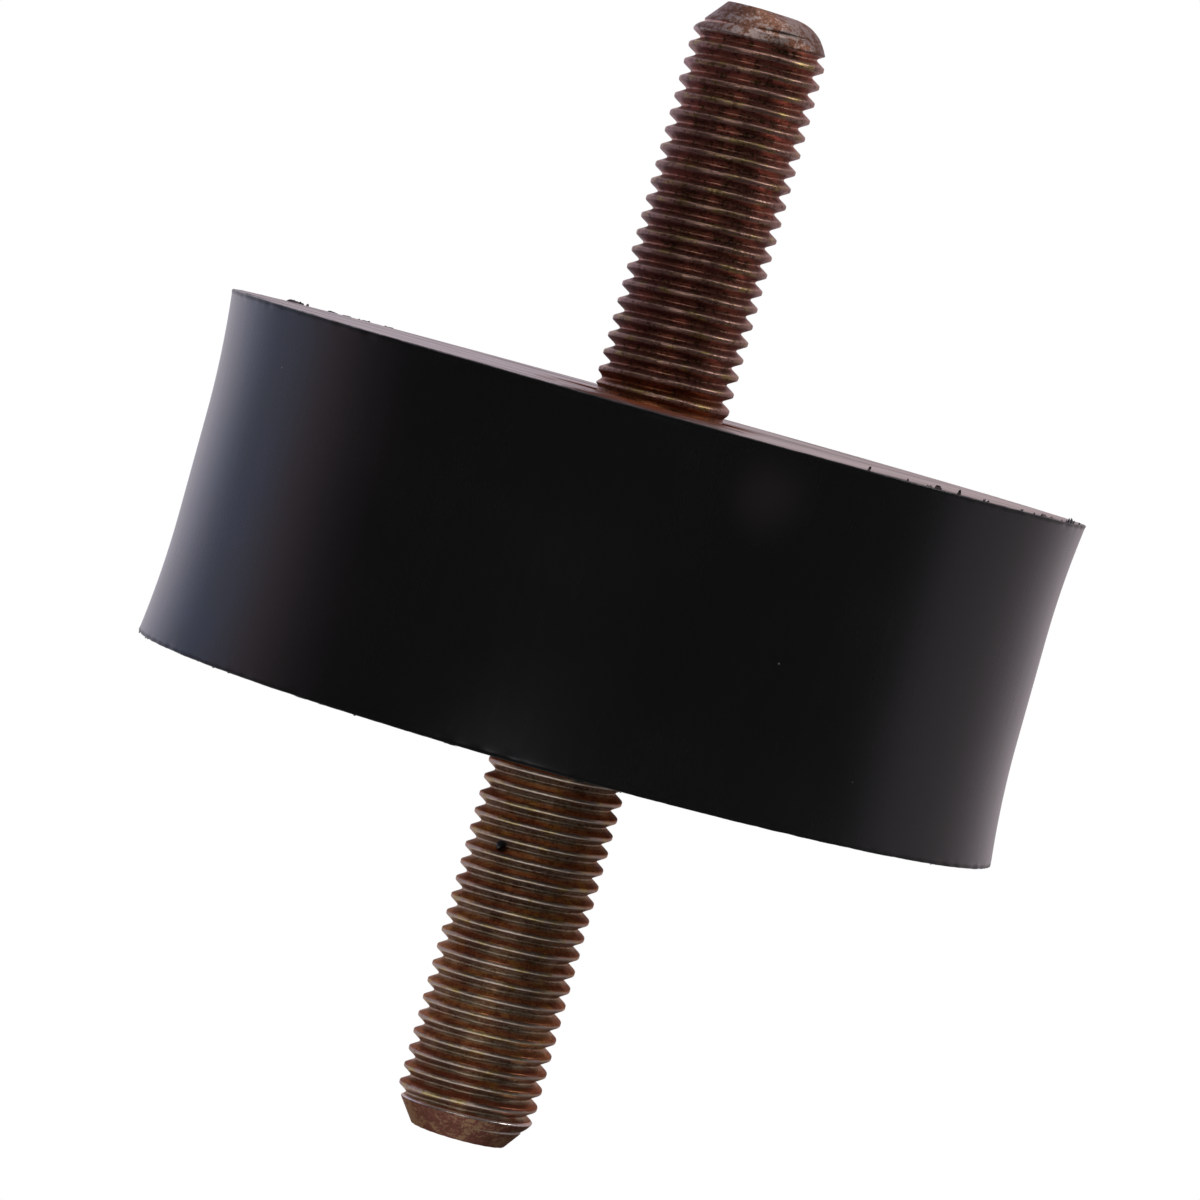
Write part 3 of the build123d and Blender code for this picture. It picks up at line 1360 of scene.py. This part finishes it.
@dataclass(frozen=True)
class Viewpoint:
    """Where the camera stands and how it is held."""

    at: Point = (0.0, -0.8116, 0.05072)
    yaw: float = math.radians(-0.044)
    pitch: float = math.radians(-2.371)
    roll: float = math.radians(15.514)
    lens: float = 215.33
    sensor: float = 36.0

    def build(self) -> bpy.types.Object:
        """Makes the camera and gives it to the scene.

        Returns:
            The camera.
        """
        ahead = Vector(
            (
                math.sin(self.yaw) * math.cos(self.pitch),
                math.cos(self.yaw) * math.cos(self.pitch),
                math.sin(self.pitch),
            )
        )
        right = Vector((math.cos(self.yaw), -math.sin(self.yaw), 0.0))
        up = right.cross(ahead)
        held_right = right * math.cos(self.roll) + up * math.sin(self.roll)
        held_up = up * math.cos(self.roll) - right * math.sin(self.roll)
        turned = Matrix((held_right, held_up, -ahead)).transposed().to_4x4()
        data = bpy.data.cameras.new("camera")
        data.lens = self.lens
        data.sensor_width = self.sensor
        data.clip_start = 0.01
        data.clip_end = 50.0
        camera = add_object("camera", data)
        camera.matrix_world = Matrix.Translation(self.at) @ turned
        bpy.context.scene.camera = camera
        return camera


@dataclass(frozen=True)
class Panel:
    """A soft panel of the surround: where it starts and is full, from -1 in front to 1 behind.

    Its white adds to that of the panels before it, and takes from it where it is under 0.
    """

    start: float
    full: float
    white: float


@dataclass
class Studio:
    """Plain pale floor, soft lamps and a white surround that is dark on the camera's side.

    The floor has a white of its own, own_white by the mount and 1 at its rim, and the lamps light the rest.
    """

    floor_drop: float = 70.0 * MM
    floor_radius: float = 0.30
    floor_segments: int = 96
    own_white: float = 0.72
    lamp_target: Point = (0.0, 0.0, 20.0 * MM)
    lamps: tuple[Lamp, ...] = (
        Lamp("left", (-0.22, -0.84, 0.42), 0.14, 0.14, 1.0, (1.0, 0.97, 0.97)),
        Lamp("right", (0.72, -0.06, 0.58), 0.30, 0.22, 2.3, (1.0, 0.97, 0.96)),
        Lamp("top", (0.0, 0.05, 0.95), 0.60, 0.50, 4.0, (1.0, 0.99, 0.98)),
    )
    left_panels: tuple[Panel, ...] = (
        Panel(-0.42, 0.40, 0.53),
        Panel(0.38, 0.50, -0.13),
        Panel(0.52, 0.86, 0.42),
    )
    right_panels: tuple[Panel, ...] = (Panel(-0.20, 0.10, 0.33), Panel(0.50, 1.16, 0.47))
    front_tint: Colour = (1.20, 0.91, 1.00)
    side_tint: Colour = (0.91, 0.99, 1.36)
    back_tint: Colour = (1.03, 0.97, 1.10)
    right_tint: Colour = (1.04, 0.905, 0.965)
    fill: float = 0.35

    def world(self) -> None:
        """Makes the surround: white for the eye, and for reflections white behind and at the sides."""
        world = bpy.data.worlds.new("surround")
        bpy.context.scene.world = world
        world.use_nodes = True
        t = Tree(world.node_tree)
        x, y, _ = t.parts(t.value("ShaderNodeTexCoord", "Generated"))
        back = y / t.math("SQRT", x * x + y * y + 0.0001)
        sides = []
        for panels in (self.right_panels, self.left_panels):
            steps = [t.step(back, panel.start, panel.full) * panel.white for panel in panels]
            sides.append(sum(steps[1:], steps[0]))
        on_left = t.step(x, 0.05, -0.05)
        white = t.blend(on_left, *sides)
        cool = t.mix(t.step(back, 0.60, 0.95), self.side_tint, self.back_tint)
        cool = t.mix(t.step(back, 0.14, 0.34), self.front_tint, cool)
        tint = t.mix(on_left, self.right_tint, cool)
        seen = t.math("MAXIMUM", t.ray("Camera"), t.ray("Transmission"))
        strength = t.blend(seen, t.blend(t.ray("Glossy"), self.fill, white), 1.0)
        colour = t.mix(seen, tint, (1.0, 1.0, 1.0))
        shader = t.node("ShaderNodeBackground", inputs={"Color": colour, "Strength": strength})
        t.node("ShaderNodeOutputWorld", inputs={"Surface": shader.outputs[0]})

    def floor_material(self) -> bpy.types.Material:
        """Makes the floor's material: white where no shadow falls, dimmer in reflections, clear from beneath.

        Returns:
            The material.
        """
        material = bpy.data.materials.new("pale_floor")
        material.use_nodes = True
        t = Tree(material.node_tree)
        camera = t.ray("Camera")
        seen = t.math("MAXIMUM", t.math("MAXIMUM", camera, t.ray("Glossy")), t.ray("Transmission"))
        pale = t.node("ShaderNodeBsdfDiffuse", inputs={"Color": (0.80, 0.80, 0.80, 1.0)})
        x, y, _ = t.parts(t.value("ShaderNodeTexCoord", "Object"))
        behind = t.step(y, -50.0 * MM, 60.0 * MM) * t.step(x, -10.0 * MM, 20.0 * MM)
        mirrored = 1.0 - t.math("MAXIMUM", t.step(x, -20.0 * MM, 120.0 * MM), behind) * 0.85
        mirrored = mirrored - t.step(x, -15.0 * MM, -60.0 * MM) * 0.32
        strength = t.blend(camera, mirrored, 1.0)
        white = t.node("ShaderNodeEmission", inputs={"Color": (1.0, 1.0, 1.0, 1.0), "Strength": strength})
        faded = t.step(t.math("SQRT", x * x + y * y), self.floor_radius * 0.45, self.floor_radius * 0.97)
        share = seen * t.blend(camera, 0.94, self.own_white + faded * (1.0 - self.own_white))
        mixed = t.node("ShaderNodeMixShader", inputs={0: share, 1: pale.outputs[0], 2: white.outputs[0]})
        clear = t.node("ShaderNodeBsdfTransparent")
        beneath = t.value("ShaderNodeNewGeometry", "Backfacing")
        one_way = {0: beneath, 1: mixed.outputs[0], 2: clear.outputs[0]}
        top = t.node("ShaderNodeMixShader", inputs=one_way)
        t.node("ShaderNodeOutputMaterial", inputs={"Surface": top.outputs[0]})
        return material

    def floor(self) -> None:
        """Lays the floor, a plain disc under the mount."""
        made = bmesh.new()
        bmesh.ops.create_circle(made, cap_ends=True, segments=self.floor_segments, radius=self.floor_radius)
        bmesh.ops.translate(made, vec=(0.0, 0.0, cad_box[0].z - self.floor_drop), verts=made.verts)
        mesh = bpy.data.meshes.new("floor")
        made.to_mesh(mesh)
        made.free()
        mesh.materials.append(self.floor_material())
        floor = add_object("floor", mesh)

    def build(self) -> None:
        """Sets up the surround, floor, lamps and camera."""
        self.world()
        self.floor()
        for lamp in self.lamps:
            lamp.build(Vector(self.lamp_target))
        Viewpoint().build()
        bpy.context.scene.view_settings.view_transform = "Standard"
        log.info("studio: %d lamps", len(self.lamps))


# ---------------------------------------------------------------- the mount


UPPER_THREAD = Thread(
    start_turn=-0.1875, crest_radius=7.82 * MM, root_radius=6.70 * MM, tip_radius=4.74 * MM, tip_slope=0.816
)
LOWER_THREAD = Thread(
    start_turn=0.23125, crest_radius=8.0 * MM, root_radius=6.95 * MM, tip_radius=5.45 * MM, tip_slope=0.74
)


def upper_finish() -> ThreadFinish:
    """The upper stud's finish: brown tarnish with rust, painted light and shade on the flanks, and a painted
    highlight on the roots and on the dull crests.

    Returns:
        The finish.
    """
    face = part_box("rubber_body")[1].z
    return ThreadFinish(
        name="rusted_thread",
        pointing=Pointing.UP,
        thread=UPPER_THREAD,
        face=face,
        length=cad_box[1].z - face,
        out_flank_painted_light=(0.57, 0.225, 0.165),
        in_flank_painted_shade=(0.33, 0.160, 0.145),
        stain=(0.15, 0.062, 0.050),
        pitted=(0.050, 0.030, 0.018),
        root=(0.49, 0.260, 0.185),
        root_glint_streak=(0.34, 0.26, 0.09),
        gilt=(0.20, 0.14, 0.06),
        crest=(0.320, 0.200, 0.165),
        gilt_crest=(0.36, 0.29, 0.09),
        edge_tint=(1.0, 0.9, 0.9),
        base_band=(0.26, 0.090, 0.036),
        tip=(0.23, 0.180, 0.165),
        tip_stain=(0.125, 0.055, 0.033),
        land=(0.40, 0.31, 0.27),
        clean_tip=2.4 * MM,
        crest_share=0.9,
        crest_reach=0.50,
        crest_highlight_shift=0.10,
        right_highlight_shift=0.08,
        root_glint_share=1.0,
        root_glint_reach=0.34,
        root_glint_shift=0.04,
        gilt_share=0.25,
        stain_share=0.75,
        grit=0.75,
        low_stain=0.8,
        high_stain=0.0,
        flank_roughness=0.42,
        crest_roughness=0.38,
        metallic=0.9,
        seed=1.0,
    )


def lower_finish() -> ThreadFinish:
    """The lower stud's finish: old yellow passivation with painted light and shade on the flanks, a painted
    highlight on the roots, and bright crests that are partly wear and partly painted highlight.

    Returns:
        The finish.
    """
    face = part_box("rubber_body")[0].z
    return ThreadFinish(
        name="passivated_thread",
        pointing=Pointing.DOWN,
        thread=LOWER_THREAD,
        face=face,
        length=face - cad_box[0].z,
        out_flank_painted_light=(0.66, 0.56, 0.44),
        in_flank_painted_shade=(0.43, 0.190, 0.088),
        stain=(0.22, 0.066, 0.044),
        pitted=(0.080, 0.045, 0.020),
        root=(0.56, 0.48, 0.36),
        root_glint_streak=(0.40, 0.30, 0.14),
        gilt=(0.50, 0.31, 0.060),
        crest=(0.49, 0.400, 0.340),
        gilt_crest=(0.60, 0.48, 0.20),
        edge_tint=(0.60, 0.48, 0.43),
        base_band=(0.34, 0.16, 0.06),
        tip=(0.21, 0.125, 0.072),
        tip_stain=(0.125, 0.047, 0.036),
        land=(0.88, 0.82, 0.80),
        clean_tip=1.6 * MM,
        crest_share=0.9,
        crest_reach=0.62,
        crest_highlight_shift=0.11,
        right_highlight_shift=0.0,
        root_glint_share=0.8,
        root_glint_reach=0.40,
        root_glint_shift=0.03,
        gilt_share=0.6,
        stain_share=0.75,
        grit=0.32,
        low_stain=0.0,
        high_stain=1.0,
        flank_roughness=0.40,
        crest_roughness=0.27,
        metallic=0.95,
        seed=21.0,
    )


def build_studs() -> None:
    """Builds and dresses both studs."""
    ThreadedStud(
        node="upper_stud",
        name="upper_threaded_stud",
        slot="rusted_stud",
        pointing=Pointing.UP,
        finish=upper_finish().material(),
        worn_corner=1.0,
        land_edge=0.20 * MM,
        blunt_turns=2.4,
        thread=UPPER_THREAD,
    ).build()
    ThreadedStud(
        node="lower_stud",
        name="lower_threaded_stud",
        slot="passivated_stud",
        pointing=Pointing.DOWN,
        finish=lower_finish().material(),
        worn_corner=0.0,
        land_edge=0.60 * MM,
        blunt_turns=1.7,
        thread=LOWER_THREAD,
    ).build()


def build_flash(finish: bpy.types.Material, top: float, bottom: float) -> None:
    """Builds the torn flash, one arc of a rim at a time.

    Args:
        finish: the rubber's material.
        top: height of the upper rim.
        bottom: height of the lower rim.
    """
    # Name, level, first and last angle, count, longest, tallest, lean and seed
    arcs = (
        ("flash_upper_front_right", top, -66.0, -10.0, 22, 1.6 * MM, 1.05 * MM, 0.30, 3),
        ("flash_upper_back_left", top, 147.5, 153.5, 5, 3.4 * MM, 0.60 * MM, 0.03, 11),
        ("flash_upper_back", top, 128.0, 144.5, 9, 2.2 * MM, 0.28 * MM, 0.03, 2),
        ("flash_lower_left", bottom, 184.0, 196.0, 3, 1.6 * MM, 0.60 * MM, 0.25, 4),
        ("flash_lower_rim", bottom, 0.0, 360.0, 30, 1.8 * MM, 0.20 * MM, 0.05, 5),
    )
    for name, *sizes in arcs:
        Flash(name, finish, *sizes).build()


def main() -> None:
    """Builds the mount's pieces in order, and then the studio."""
    logging.basicConfig(level=logging.INFO, format="%(name)s: %(message)s")
    rubber = RubberBody(RubberFinish())
    body = rubber.build()
    black = body.data.materials[0]
    plate_finish = PlateFinish(plate_radius=rubber.plate_radius).material()
    Plate("upper_plate", "upper_bonded_plate", Pointing.UP, plate_finish).build()
    Plate("lower_plate", "lower_bonded_plate", Pointing.DOWN, plate_finish).build()
    build_studs()
    build_flash(black, rubber.top, rubber.bottom)
    Crumb(black).build()
    Studio().build()


if __name__ == "__main__":
    main()
